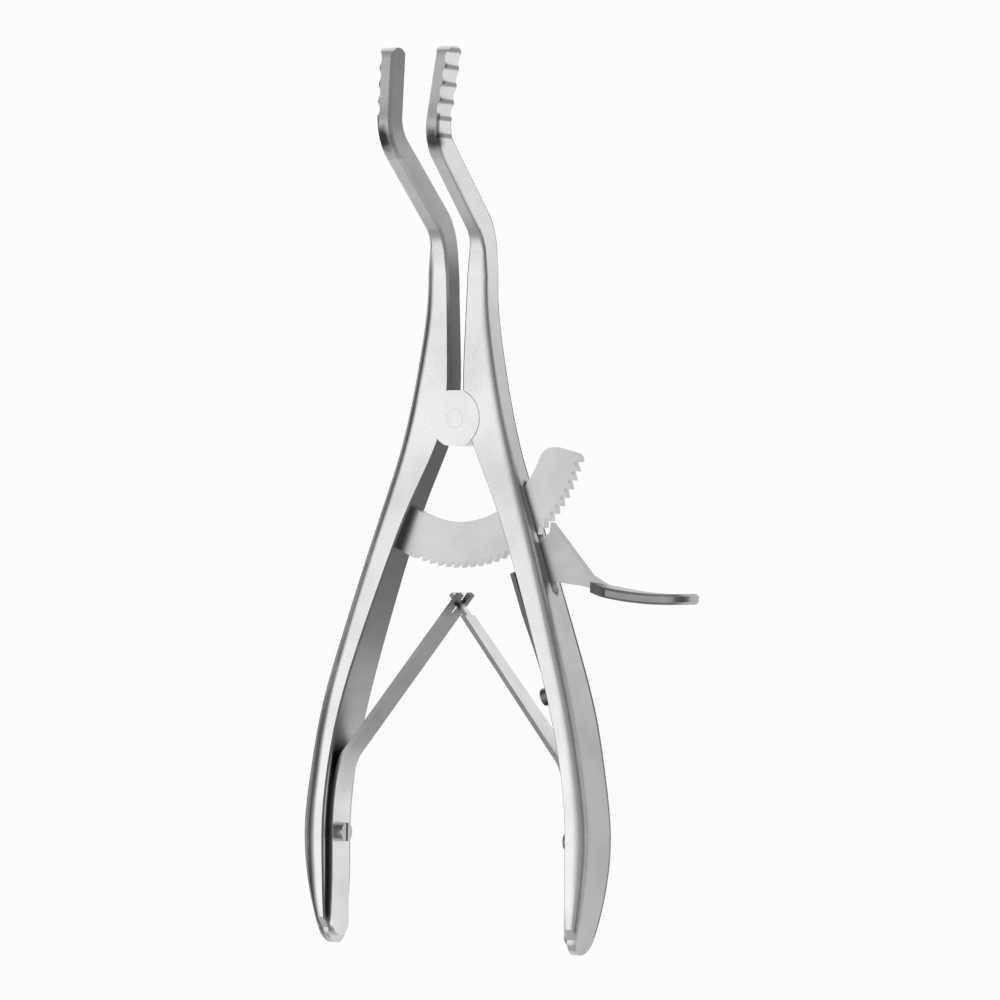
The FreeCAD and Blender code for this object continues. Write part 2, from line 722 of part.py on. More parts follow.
def pawl_screw_y():
    return leaf_bend_y() + leaf_bend_length + pawl_screw_margin


def pawl_spring(blank):
    """Thin leaf on the right handle's inner face, its free end standing on the lever's tail."""
    half = pawl_spring_thickness / 2.0
    screw_y = pawl_screw_y()
    foot_y = screw_y - pawl_spring_foot_margin
    top_y = lever_pin_centre().y - pawl_spring_top_drop
    points = []
    for share, lift in pawl_spring_rise:
        face, out = inner_point(screw_y + (top_y - screw_y) * share)
        points.append(face + out * (half + pawl_spring_lift * lift))
    face, out = inner_point(foot_y)
    points.insert(0, face + out * half)
    face, out = inner_point(top_y)
    last = face + out * (half + pawl_spring_lift)
    way = (last - points[-1]).normalize()
    points.append(last)
    profile = strip_profile(points, pawl_spring_thickness, way)
    low, high = pawl_spring_width / 2.0, pawl_spring_top_width / 2.0
    low_y, high_y = foot_y - pawl_spring_width, top_y + pawl_spring_width
    taper = polygon([Vector(0, low_y, low), Vector(0, screw_y, low), Vector(0, high_y, high),
                     Vector(0, high_y, -high), Vector(0, screw_y, -low), Vector(0, low_y, -low)])
    column = Part.Face(taper).extrude(Vector(big, 0, 0))
    return plate(profile, pawl_spring_width).common(column).cut(blank)


def screw(y, seat_height, head_radius, head_height, radius, length):
    """Cheese-head screw standing on the right handle's inner face, with a driver slot."""
    face, out = inner_point(y)
    seat = face + out * seat_height
    head = Part.makeCylinder(head_radius, head_height, seat, out)
    shank = Part.makeCylinder(radius, length + seat_height, seat, out * -1.0)
    slot_tool = Part.makeBox(driver_slot_depth, head_radius * 2.0, driver_slot_width,
                             Vector(0, -head_radius, -driver_slot_width / 2.0))
    turn = math.degrees(math.atan2(out.y, out.x))
    slot_tool.rotate(Vector(0, 0, 0), Vector(0, 0, 1), turn)
    slot_tool.translate(seat + out * (head_height - driver_slot_depth))
    return head.fuse(shank).removeSplitter().cut(slot_tool)


def screw_hole(y, radius, length):
    face, out = inner_point(y)
    above = 3.0 * leaf_thickness
    return Part.makeCylinder(radius, length + above, face + out * above, out * -1.0)


def flush_pin(radius, centre, blank):
    """Pin ground flush with the arm that it goes through."""
    return upright_cylinder(radius, centre, -big, big).common(blank)


def build():
    blank = right_blank()
    left = mirrored(blank)
    pivot = Vector(0, 0, 0)
    pivot_pin = upright_cylinder(pivot_pin_radius, pivot, -joint_thickness / 2.0, joint_thickness / 2.0)
    toothed_arc = rack()
    rack_pin_centre = polar((rack_inner_radius + rack_outer_radius) / 2.0, rack_pin_angle)
    rack_pin = flush_pin(rack_pin_radius, rack_pin_centre, left)
    lever_pin = flush_pin(lever_pin_radius, lever_pin_centre(), blank)

    right_leaf = leaf_spring(blank, False)
    left_leaf = mirrored(leaf_spring(blank, True))
    pawl_leaf = pawl_spring(blank)
    leaf_screw_y = leaf_screw_margin - handle_length
    leaf_hole = screw_hole(leaf_screw_y, leaf_screw_radius, leaf_screw_length)
    pawl_hole = screw_hole(pawl_screw_y(), pawl_screw_radius, pawl_screw_length)
    leaf_screw = screw(leaf_screw_y, leaf_thickness, leaf_screw_head_radius, leaf_screw_head_height,
                       leaf_screw_radius, leaf_screw_length)
    pawl_screw = screw(pawl_screw_y(), pawl_spring_thickness, pawl_screw_head_radius, pawl_screw_head_height,
                       pawl_screw_radius, pawl_screw_length)

    right_arm = blank.cut(recess(1)).fuse(ear(-1))
    right_arm = right_arm.cut(Part.Compound([
        upright_cylinder(pivot_pin_radius, pivot, -big, big), handle_slot(),
        upright_cylinder(lever_pin_radius, lever_pin_centre(), -big, big), leaf_hole, pawl_hole]))
    left_arm = left.cut(recess(-1)).fuse(ear(1))
    left_arm = left_arm.cut(Part.Compound([
        upright_cylinder(pivot_pin_radius + pin_clearance, pivot, -big, big), toothed_arc,
        upright_cylinder(rack_pin_radius, rack_pin_centre, -big, big), mirrored(leaf_hole)]))
    toothed_arc = toothed_arc.cut(upright_cylinder(rack_pin_radius, rack_pin_centre, -big, big))

    return {
        "left_arm": left_arm,
        "right_arm": right_arm,
        "pivot_pin": pivot_pin,
        "rack": toothed_arc,
        "rack_pin": rack_pin,
        "lever": lever(),
        "lever_pin": lever_pin,
        "pawl_spring": pawl_leaf.cut(pawl_hole).cut(pawl_screw),
        "pawl_spring_screw": pawl_screw,
        "left_leaf_spring": left_leaf.cut(mirrored(leaf_hole)).cut(mirrored(leaf_screw)),
        "right_leaf_spring": right_leaf.cut(leaf_hole).cut(leaf_screw),
        "left_spring_screw": mirrored(leaf_screw),
        "right_spring_screw": leaf_screw,
    }


os.makedirs("parts", exist_ok=True)
for name, shape in build().items():
    shape = shape.copy()
    shape.translate(Vector(0, 0, middle_z))
    solids = shape.Solids
    print(name, len(solids), "solid", shape.isValid(), round(shape.Volume, 2))
    if len(solids) == 1:
        shape = solids[0]
    shape.exportStep("parts/" + name + ".step")
print("engaged at", round(engage_turn(), 3), "degrees, flank at", round(tooth_flank_angle(), 3))
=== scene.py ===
import json
import math

import bpy
from mathutils import Matrix, Vector

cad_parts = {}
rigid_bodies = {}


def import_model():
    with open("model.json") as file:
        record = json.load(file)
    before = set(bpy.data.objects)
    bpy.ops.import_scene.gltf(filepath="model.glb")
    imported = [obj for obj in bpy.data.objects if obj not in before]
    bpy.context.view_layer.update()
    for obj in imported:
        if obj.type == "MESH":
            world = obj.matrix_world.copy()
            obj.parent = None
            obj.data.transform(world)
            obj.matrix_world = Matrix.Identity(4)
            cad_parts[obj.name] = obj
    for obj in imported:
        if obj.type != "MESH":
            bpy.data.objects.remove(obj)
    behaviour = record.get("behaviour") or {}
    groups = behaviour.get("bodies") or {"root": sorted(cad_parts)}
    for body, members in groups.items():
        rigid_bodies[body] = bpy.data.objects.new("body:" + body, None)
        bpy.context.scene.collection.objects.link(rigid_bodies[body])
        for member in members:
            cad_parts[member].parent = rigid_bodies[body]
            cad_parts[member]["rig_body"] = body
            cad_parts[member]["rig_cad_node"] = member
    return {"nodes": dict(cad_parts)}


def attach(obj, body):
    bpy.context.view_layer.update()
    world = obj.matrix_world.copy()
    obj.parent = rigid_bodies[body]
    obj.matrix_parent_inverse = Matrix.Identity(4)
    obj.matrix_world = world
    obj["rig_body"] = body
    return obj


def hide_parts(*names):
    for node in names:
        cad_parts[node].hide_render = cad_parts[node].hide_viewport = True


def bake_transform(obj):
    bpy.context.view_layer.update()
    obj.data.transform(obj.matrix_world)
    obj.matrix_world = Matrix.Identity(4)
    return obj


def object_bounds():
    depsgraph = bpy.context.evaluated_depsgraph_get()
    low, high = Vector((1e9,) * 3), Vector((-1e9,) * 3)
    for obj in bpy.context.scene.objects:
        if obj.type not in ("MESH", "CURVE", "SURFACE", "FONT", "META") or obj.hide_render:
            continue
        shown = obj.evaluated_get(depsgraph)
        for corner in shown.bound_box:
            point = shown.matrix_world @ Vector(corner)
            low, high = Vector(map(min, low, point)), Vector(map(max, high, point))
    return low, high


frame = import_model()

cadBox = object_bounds()
nodes = frame["nodes"]
mm = 0.001


# camera, at the photograph's angle

cameraView = {
    "turn": 33.03,            # degrees that the instrument is turned about its length
    "tilt": -0.258,
    "roll": 0.757,
    "distance": 1380 * mm,
    "aimRight": 8.297 * mm,   # picture centre, from the joint's centre
    "aimUp": -16.962 * mm,
    "jointCentre": (0, 0, 2.6 * mm),
    "pixelsPerMm": 4.766,     # in the joint's plane, for a picture 1000 wide
    "pictureWidth": 1000,
    "sensorWidth": 36.0,
}


def makeCamera(v):
    turn, tilt, roll = (math.radians(v[key]) for key in ("turn", "tilt", "roll"))
    right = Vector((math.cos(turn), 0, -math.sin(turn)))
    back = Vector((math.sin(turn) * math.cos(tilt), math.sin(tilt), math.cos(turn) * math.cos(tilt)))
    up = back.cross(right)
    data = bpy.data.cameras.new("camera")
    pixelsPerRadian = v["pixelsPerMm"] * v["distance"] / mm
    data.sensor_width = v["sensorWidth"]
    data.lens = v["sensorWidth"] * pixelsPerRadian / v["pictureWidth"]
    data.clip_start = 0.1
    data.clip_end = 20
    camera = bpy.data.objects.new("camera", data)
    bpy.context.scene.collection.objects.link(camera)
    place = Vector(v["jointCentre"]) + right * v["aimRight"] + up * v["aimUp"] + back * v["distance"]
    across = right * math.cos(roll) + up * math.sin(roll)
    upright = up * math.cos(roll) - right * math.sin(roll)
    turned = Matrix((across, upright, back)).transposed().to_4x4()
    camera.matrix_world = Matrix.Translation(place) @ turned
    bpy.context.scene.camera = camera


makeCamera(cameraView)
print("camera placed")


# small helpers for node trees

def addNode(tree, kind, inputs=None, **settings):
    made = tree.nodes.new("ShaderNode" + kind)
    for name, value in settings.items():
        setattr(made, name, value)
    for name, value in (inputs or {}).items():
        if isinstance(value, bpy.types.NodeSocket):
            tree.links.new(value, made.inputs[name])
        else:
            made.inputs[name].default_value = value
    return made


def maths(tree, operation, first, second=0.0, third=0.0):
    return addNode(tree, "Math", {0: first, 1: second, 2: third}, operation=operation).outputs[0]


def times(tree, first, *others):
    for other in others:
        first = maths(tree, "MULTIPLY", first, other)
    return first


def oneLess(tree, value):
    return maths(tree, "SUBTRACT", 1.0, value)


def dimBy(tree, tone, mask, strength):
    return times(tree, tone, maths(tree, "MULTIPLY_ADD", mask, -strength, 1.0))


def ease(tree, value, low, high, atLow=0.0, atHigh=1.0):
    return addNode(tree, "MapRange", {"Value": value, "From Min": low, "From Max": high, "To Min": atLow,
                                      "To Max": atHigh}, interpolation_type="SMOOTHSTEP").outputs[0]


def onPiece(tree):
    return addNode(tree, "TexCoord").outputs["Object"]


def placeAndFacing(tree):
    coords = addNode(tree, "TexCoord").outputs
    return [addNode(tree, "SeparateXYZ", {0: coords[name]}).outputs for name in ("Object", "Normal")]


def noise(tree, place, scale, detail):
    return addNode(tree, "TexNoise", {"Vector": place, "Scale": scale, "Detail": detail}).outputs["Fac"]


def emptyTree(owner):
    owner.use_nodes = True
    owner.node_tree.nodes.clear()
    return owner.node_tree


# studio: pale floor, one large soft lamp from the upper left, a sky that is dim towards the right,
# and a dark board far to the left, low down, for the dark lines that such steel shows

studio = {
    "floorGap": 0.15 * mm,
    "floorSize": 6.0,
    "floorColor": 0.95,
    "floorGlow": 0.95,        # how much of the floor is plain white to the camera and to metal
    "lampPlace": (-0.82, -0.38, 1.28),
    "lampAim": (0, -0.38, 0),
    "lampLength": 1.26,
    "lampWidth": 1.15,
    "lampPower": 3.5,
    "skyWay": (-0.55, -0.35, 0.76),   # the sky is brightest there
    "skyFrom": -0.35,                 # from this cosine off that way to the next, it goes from dark to bright
    "skyTo": 0.85,
    "skyDark": 0.24,
    "skyBright": 0.54,
    "boardWay": (-0.95, 0.3, 0.0),
    "boardFrom": 0.78,                # the same for the board's soft rim
    "boardTo": 0.94,
    "boardDepth": 0.8,
}


def makeFloor(s):
    half = s["floorSize"] / 2
    mesh = bpy.data.meshes.new("floor")
    low = cadBox[0].z - s["floorGap"]
    corners = [(-half, -half, low), (half, -half, low), (half, half, low), (-half, half, low)]
    mesh.from_pydata(corners, [], [(0, 1, 2, 3)])
    floor = bpy.data.objects.new("floor", mesh)
    bpy.context.scene.collection.objects.link(floor)
    material = bpy.data.materials.new("floorPaper")
    tree = emptyTree(material)
    paths = addNode(tree, "LightPath").outputs
    seen = maths(tree, "MAXIMUM", paths["Is Camera Ray"], paths["Is Glossy Ray"])
    seen = maths(tree, "MAXIMUM", seen, paths["Is Transmission Ray"])
    share = maths(tree, "MULTIPLY", seen, s["floorGlow"])
    paper = addNode(tree, "BsdfDiffuse", {"Color": (s["floorColor"],) * 3 + (1,)})
    glow = addNode(tree, "Emission")
    both = addNode(tree, "MixShader", {0: share, 1: paper.outputs[0], 2: glow.outputs[0]})
    addNode(tree, "OutputMaterial", {"Surface": both.outputs[0]})
    mesh.materials.append(material)


def makeSky(s):
    world = bpy.data.worlds.new("studio")
    bpy.context.scene.world = world
    tree = emptyTree(world)
    way = addNode(tree, "TexCoord").outputs["Generated"]
    towards = addNode(tree, "VectorMath", {0: way, 1: s["skyWay"]}, operation="DOT_PRODUCT")
    level = ease(tree, towards.outputs["Value"], s["skyFrom"], s["skyTo"], s["skyDark"], s["skyBright"])
    board = addNode(tree, "VectorMath", {0: way, 1: s["boardWay"]}, operation="DOT_PRODUCT")
    level = dimBy(tree, level, ease(tree, board.outputs["Value"], s["boardFrom"], s["boardTo"]), s["boardDepth"])
    sky = addNode(tree, "Background", {"Color": level})
    addNode(tree, "OutputWorld", {"Surface": sky.outputs[0]})


def makeLamp(s):
    data = bpy.data.lights.new("softLamp", "AREA")
    data.shape = "RECTANGLE"
    data.size = s["lampLength"]
    data.size_y = s["lampWidth"]
    data.energy = s["lampPower"]
    lamp = bpy.data.objects.new("softLamp", data)
    lamp.location = s["lampPlace"]
    lamp.rotation_mode = "QUATERNION"
    lamp.rotation_quaternion = (Vector(s["lampAim"]) - Vector(s["lampPlace"])).to_track_quat("-Z", "Y")
    bpy.context.scene.collection.objects.link(lamp)


makeFloor(studio)
makeSky(studio)
makeLamp(studio)
bpy.context.scene.view_settings.view_transform = "Standard"
print("studio lit")


# effects that several steels share

def newGroup(name, inputs, outputs):
    group = bpy.data.node_groups.new(name, "ShaderNodeTree")
    for socket, value in inputs.items():
        kind = "NodeSocketVector" if isinstance(value, tuple) else "NodeSocketFloat"
        group.interface.new_socket(name=socket, in_out="INPUT", socket_type=kind).default_value = value
    for socket in outputs:
        group.interface.new_socket(name=socket, in_out="OUTPUT", socket_type="NodeSocketFloat")
    return group, group.nodes.new("NodeGroupInput").outputs, group.nodes.new("NodeGroupOutput").inputs


# fine blasted speckle, faint polishing lines along the instrument, soft cloudy patches
grainSizes = {"linesAcross": 1 / 2800, "linesShare": 0.035, "clouds": 1 / 95, "cloudShare": 0.6}   # sizes in m


def makeSatinGrain(g):
    group, given, out = newGroup(
        "satinGrain", {"Speckle Size": 0.22 * mm, "Roughness": 0.32, "Roughness Spread": 0.08},
        ["Speckle", "Lines", "Clouds", "Roughness"])
    place = onPiece(group)
    speckle = noise(group, place, maths(group, "DIVIDE", 1.0, given["Speckle Size"]), 2.0)
    pull = (1.0, g["linesShare"], 1.0)
    pulled = addNode(group, "VectorMath", {0: place, 1: pull}, operation="MULTIPLY").outputs[0]
    lines = noise(group, pulled, 1 / g["linesAcross"], 3.0)
    clouds = noise(group, place, 1 / g["clouds"], 3.0)
    mixed = maths(group, "MULTIPLY_ADD", clouds, g["cloudShare"], times(group, speckle, 1 - g["cloudShare"]))
    offset = maths(group, "SUBTRACT", mixed, 0.5)
    rough = maths(group, "MULTIPLY_ADD", offset, given["Roughness Spread"], given["Roughness"])
    for name, value in (("Speckle", speckle), ("Lines", lines), ("Clouds", clouds), ("Roughness", rough)):
        group.links.new(value, out[name])
    return group


# painted shade: 1 along the rounded and bevelled long edges, for the dark lines that they show, broken up a little at
# random; Side is 1 on the right arm and -1 on the left
edgeMask = {              # slant is 0 on a flat face and 1 at 45 degrees
    "frontSlant": (0.72, 0.98), "rearSlant": (0.2, 0.7), "fade": 8 * mm, "breakup": 0.75, "breakupScale": 260.0,
}


def makePaintedEdgeShade(e):
    group, given, out = newGroup("paintedEdgeShade", {"Side": 1.0, "Outer End": 34 * mm, "Inner End": 20 * mm},
                                 ["Outer", "Inner", "Rear"])
    place, facing = placeAndFacing(group)
    upright = maths(group, "MAXIMUM", oneLess(group, times(group, facing["X"], facing["X"])), 0.0)
    upright = maths(group, "SQRT", upright)
    slant = times(group, maths(group, "ABSOLUTE", facing["X"]), upright, 2.0)
    breakup = ease(group, noise(group, onPiece(group), e["breakupScale"], 2.0), 0.2, 0.55, e["breakup"], 1.0)
    outwards = ease(group, times(group, facing["X"], given["Side"]), -0.1, 0.1)
    front = times(group, ease(group, slant, *e["frontSlant"]), breakup, ease(group, facing["Z"], -0.1, 0.1))
    for name, side in (("Outer", outwards), ("Inner", oneLess(group, outwards))):
        past = maths(group, "SUBTRACT", place["Y"], given[name + " End"])
        group.links.new(times(group, front, side, ease(group, past, 0.0, e["fade"], 1.0, 0.0)), out[name])
    behind = oneLess(group, ease(group, facing["Z"], -0.2, -0.04))
    group.links.new(times(group, ease(group, slant, *e["rearSlant"]), behind), out["Rear"])
    return group


# painted shade: a dark spot about a point, for the jaws' bends and the ends of the right arm's slot
shadeSpotEdge = {"ragged": (0.9, 1.12), "scale": 700.0, "solid": 0.25}   # solid: share of the radius before it fades


def makeSmudge(s):
    group, given, out = newGroup("shadeSpot", {"Place": (0.0, 0.0, 0.0), "Squeeze": (1.0, 1.0, 1.0), "Radius": 3 * mm},
                                 ["Smudge"])
    here = onPiece(group)
    away = addNode(group, "VectorMath", {0: here, 1: given["Place"]}, operation="SUBTRACT").outputs[0]
    away = addNode(group, "VectorMath", {0: away, 1: given["Squeeze"]}, operation="MULTIPLY").outputs[0]
    far = addNode(group, "VectorMath", {0: away}, operation="LENGTH").outputs["Value"]
    far = times(group, far, ease(group, noise(group, here, s["scale"], 2.0), 0.3, 0.7, *s["ragged"]))
    shadeSpot = ease(group, maths(group, "DIVIDE", far, given["Radius"]), s["solid"], 1.0, 1.0, 0.0)
    group.links.new(shadeSpot, out["Smudge"])
    return group


# painted shade: how much of the steel's brightness is left on an arm's inner, outer and front faces, by mm along the
# instrument
armShades = {
    "inner": [            # faces that look at the other arm
        (-112, 0.90), (-84, 0.90), (-72, 0.66), (-63, 0.50), (-55, 0.44), (-46, 0.28), (-38, 0.20), (-29, 0.16),
        (-12, 0.13), (12, 0.15), (30, 0.20), (38, 0.52), (56, 0.52), (61, 0.32), (80, 0.30),
    ],
    "outer": [
        (-112, 0.66), (-90, 0.62), (-70, 0.62), (-50, 0.68), (-10, 0.72), (20, 0.80), (35, 0.98), (80, 1.0),
    ],
    "front": [
        (-112, 0.75), (-107, 0.85), (-102, 1.0), (30, 1.0), (35, 0.86), (39, 0.66), (43, 0.84), (54, 0.90),
        (57, 0.66), (60, 0.55), (63, 0.75), (66, 0.95), (80, 0.95),
    ],
}

springFoot = {            # painted shadow: the dark strip beside a leaf's foot on its handle, in mm; left: share of brightness
    "middle": 2.6, "halfWidth": 4.6, "top": -72, "topFade": 6, "bottom": -108, "bottomFade": 3, "left": 0.03,
}


def shadeRamp(group, along, stops):
    first, last = stops[0][0] * mm, stops[-1][0] * mm
    share = addNode(group, "MapRange", {"Value": along, "From Min": first, "From Max": last}).outputs[0]
    ramp = addNode(group, "ValToRGB", {"Fac": share})
    points = ramp.color_ramp.elements
    while len(points) < len(stops):
        points.new(0.5)
    for point, (place, left) in zip(points, stops):
        point.position = (place * mm - first) / (last - first)
        point.color = (left, left, left, 1)
    return ramp.outputs["Color"]


def makePaintedSideShade(shades, foot):
    group, given, out = newGroup("paintedSideShade", {"Side": 1.0}, ["Tone"])
    place, facing = placeAndFacing(group)
    outwards = times(group, facing["X"], given["Side"])
    offMiddle = maths(group, "ABSOLUTE", maths(group, "SUBTRACT", place["Z"], foot["middle"] * mm))
    edge = foot["halfWidth"] * mm
    beside = ease(group, offMiddle, edge * 0.92, edge * 1.1, 1.0, 0.0)
    below = ease(group, place["Y"], foot["top"] * mm, (foot["top"] + foot["topFade"]) * mm, 1.0, 0.0)
    above = ease(group, place["Y"], foot["bottom"] * mm, (foot["bottom"] + foot["bottomFade"]) * mm)
    left = {name: shadeRamp(group, place["Y"], stops) for name, stops in shades.items()}
    left["inner"] = dimBy(group, left["inner"], times(group, beside, below, above), 1.0 - foot["left"])
    on = {
        "inner": ease(group, outwards, -0.9, -0.76, 1.0, 0.0),
        "outer": ease(group, outwards, 0.6, 0.9),
        "front": ease(group, maths(group, "ABSOLUTE", facing["X"]), 0.5, 0.8, 1.0, 0.0),
    }
    tone = 1.0
    for name in left:
        tone = maths(group, "SUBTRACT", tone, times(group, on[name], oneLess(group, left[name])))
    group.links.new(tone, out["Tone"])
    return group


# the arms' faces fall away towards the outer edge; in mm: along, outer edge, where from the edge the fall begins
crownFade = (30, 38)      # where along the shank it ends
crownLines = [
    (-112.6, 30.8, 1.0), (-105.5, 33.2, 2.2), (-97, 35.0, 3.3), (-86, 35.8, 3.8), (-75, 34.5, 3.6), (-62, 32.0, 3.3),
    (-46.3, 27.4, 2.9), (-30, 22.0, 2.6), (-16, 17.1, 2.5), (-6, 13.8, 2.4), (0, 12.1, 2.4), (6, 10.7, 2.3),
    (14, 9.15, 2.3), (22, 7.95, 2.2), (30, 7.6, 2.1), (38, 7.0, 2.0),
]


def lineCurve(group, share, values, biggest):
    node = addNode(group, "FloatCurve", {"Value": share})
    curve = node.mapping.curves[0]
    places = [row[0] for row in crownLines]
    shares = [(place - places[0]) / (places[-1] - places[0]) for place in places]
    points = [(where, value / biggest) for where, value in zip(shares, values)]
    curve.points[0].location = points[0]
    curve.points[1].location = points[-1]
    for point in points[1:-1]:
        curve.points.new(*point)
    node.mapping.update()
    return maths(group, "MULTIPLY", node.outputs[0], biggest * mm)


paintedReflectionLine = {          # painted reflection: a dark line within the fall; middle and half width are shares of its reach
    "middle": 0.46, "halfWidth": 0.32,
    "depth": [(-112, 0.2), (-106, 0.92), (-98, 0.95), (-90, 0.45), (-80, 0.5), (-67, 0.75), (-55, 0.45), (-30, 0.45),
              (0, 0.6), (24, 0.5), (34, 0.0)],
}


def makeArmCrown(line):
    group, given, out = newGroup("armCrown", {"Side": 1.0, "Crown": 100.0}, ["Height", "Line"])
    place, facing = placeAndFacing(group)
    first, last = crownLines[0][0] * mm, crownLines[-1][0] * mm
    share = addNode(group, "MapRange", {"Value": place["Y"], "From Min": first, "From Max": last}).outputs[0]
    widest = 40
    outerX, reach = (lineCurve(group, share, [row[column] for row in crownLines], widest) for column in (1, 2))
    inset = maths(group, "SUBTRACT", outerX, times(group, place["X"], given["Side"]))
    past = maths(group, "MAXIMUM", maths(group, "SUBTRACT", reach, inset), 0.0)
    fade = ease(group, place["Y"], crownFade[0] * mm, crownFade[1] * mm, 1.0, 0.0)
    group.links.new(times(group, past, past, given["Crown"], -0.5, fade), out["Height"])
    offLine = maths(group, "ABSOLUTE", maths(group, "SUBTRACT", maths(group, "DIVIDE", inset, reach), line["middle"]))
    onLine = ease(group, offLine, 0.0, line["halfWidth"], 1.0, 0.0)
    inFront = ease(group, facing["Z"], 0.1, 0.5)
    depth = shadeRamp(group, place["Y"], line["depth"])
    group.links.new(times(group, onLine, inFront, depth), out["Line"])
    return group


# painted shade: dark ridges between the grooves of a jaw's outer face
jawGrooves = {"firstRidge": 75.9, "pitch": 3.56, "low": 57.0, "darkness": 0.6}


def makePaintedGrooveShade(g):
    group, given, out = newGroup("paintedGrooveShade", {"Side": 1.0}, ["Tone"])
    place, facing = placeAndFacing(group)
    fromRidge = maths(group, "SUBTRACT", place["Y"], g["firstRidge"] * mm)
    turns = maths(group, "DIVIDE", fromRidge, g["pitch"] * mm / (2 * math.pi))
    ridge = ease(group, maths(group, "COSINE", turns), 0.35, 0.95)
    outwards = ease(group, times(group, facing["X"], given["Side"]), 0.15, 0.5)
    onTip = ease(group, place["Y"], (g["low"] - 1) * mm, g["low"] * mm)
    group.links.new(dimBy(group, 1.0, times(group, ridge, outwards, onTip), g["darkness"]), out["Tone"])
    return group


satinGrain = makeSatinGrain(grainSizes)
paintedEdgeShade = makePaintedEdgeShade(edgeMask)
shadeSpot = makeSmudge(shadeSpotEdge)
paintedSideShade = makePaintedSideShade(armShades, springFoot)
armCrown = makeArmCrown(paintedReflectionLine)
paintedGrooveShade = makePaintedGrooveShade(jawGrooves)


# steels

steels = {
    "armSteel": {"color": (0.765, 0.78, 0.775), "dark": (0.66, 0.675, 0.67), "roughness": 0.33, "spread": 0.10,
                 "speckle": 0.10, "grain": 0.20},
    "rackSteel": {"color": (0.63, 0.64, 0.645), "dark": (0.53, 0.54, 0.55), "roughness": 0.38, "spread": 0.08,
                  "speckle": 0.09, "grain": 0.30},
    "leverSteel": {"color": (0.50, 0.51, 0.51), "dark": (0.40, 0.41, 0.41), "roughness": 0.36, "spread": 0.10,
                   "speckle": 0.10, "grain": 0.25},
    "leafSteel": {"color": (0.76, 0.77, 0.765), "dark": (0.62, 0.63, 0.625), "roughness": 0.30, "spread": 0.10,
                  "speckle": 0.09, "grain": 0.25},
    "pawlSteel": {"color": (0.13, 0.135, 0.14), "dark": (0.09, 0.095, 0.10), "roughness": 0.34, "spread": 0.10,
                  "speckle": 0.12, "grain": 0.25},
    "screwSteel": {"color": (0.50, 0.50, 0.50), "dark": (0.30, 0.30, 0.30), "roughness": 0.26, "spread": 0.08,
                   "speckle": 0.06, "grain": 0.25},
    "pawlScrewSteel": {"color": (0.22, 0.22, 0.225), "dark": (0.14, 0.14, 0.145), "roughness": 0.30, "spread": 0.08,
                       "speckle": 0.06, "grain": 0.25},
}

arms = {                  # crown in 1/m; outerEnd in m; the edges and line give the strength of their painted shade; painted dark spots: place in mm, squeeze, radius in mm, strength
    "left_arm": {"side": -1, "crown": 360.0, "line": 1.0, "outerEdge": 0.90, "innerEdge": 0.55, "rearEdge": 0.95,
                 "outerEnd": 90 * mm, "shadeSpots": [((-6.4, 57.6, 24.0), (1.0, 0.75, 1.0), 3.0, 0.92)]},
    "right_arm": {"side": 1, "crown": 170.0, "line": 0.1, "outerEdge": 0.35, "innerEdge": 0.55, "rearEdge": 0.95,
                  "outerEnd": 34 * mm, "shadeSpots": [((5.8, 57.2, 24.0), (0.9, 0.9, 1.0), 3.3, 0.88),
                                                   ((16.4, -13.8, 2.6), (1.0, 1.0, 1.0), 1.6, 0.95),
                                                   ((24.0, -35.6, 2.6), (1.0, 1.0, 1.0), 1.7, 0.95)]},
}

# painted shade: how much is left of the left leaf's brightness on all of it, of the right leaf's on its narrow front
# edge, of the rack's beside the left handle and of the thumb tab's front edge, by mm along the instrument or across it
leafShade = [
    (-112, 1.0), (-82, 1.0), (-75, 0.78), (-69, 0.44), (-64, 0.34), (-42, 0.34), (-38.5, 0.16), (-34, 0.12),
]
leafEdgeShade = [(-112, 0.6), (-80, 0.5), (-72, 0.3), (-36, 0.3)]
rackShade = [(-22, 0.45), (-17.5, 0.55), (-14, 0.86), (-9, 1.0), (40, 1.0)]
tabEdgeShade = [(20, 1.0), (36, 1.0), (38.5, 0.55), (53, 0.60), (56.5, 0.35), (58.5, 0.7)]


def groupNode(tree, group, inputs):
    made = addNode(tree, "Group", node_tree=group)
    for name, value in inputs.items():
        made.inputs[name].default_value = value
    return made.outputs


grainHeight = 0.02 * mm   # of a steel whose grain is 1


